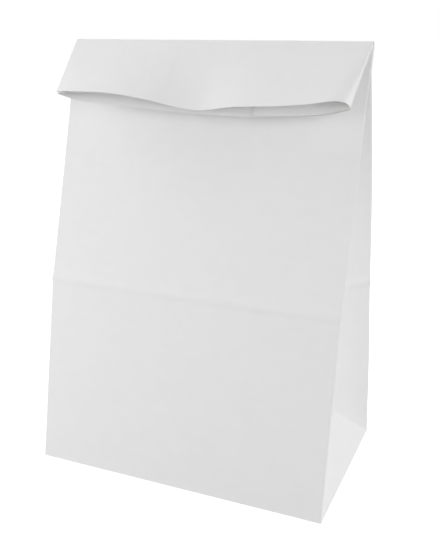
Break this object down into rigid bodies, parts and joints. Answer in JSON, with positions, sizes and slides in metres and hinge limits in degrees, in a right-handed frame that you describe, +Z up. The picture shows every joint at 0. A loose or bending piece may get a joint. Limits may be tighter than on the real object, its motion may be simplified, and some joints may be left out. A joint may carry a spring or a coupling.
{
  "type": "paper lunch bag",
  "caption": "White block-bottom paper lunch bag with side gussets, standing open on its base, its top pinched flat and folded forward over the front.",
  "frame": {"origin": "middle of the base, on the surface that the bag stands on", "axes": "+Z up to the folded top, +X across the front panel, -Y the way the front panel and the folded flap face"},
  "size_m": [0.152, 0.094, 0.2113],
  "materials": {
    "white_paper": "matte, machine finished"
  },
  "bodies": {
    "root": {"paper_bag": "white_paper"}
  },
  "joints": []
}
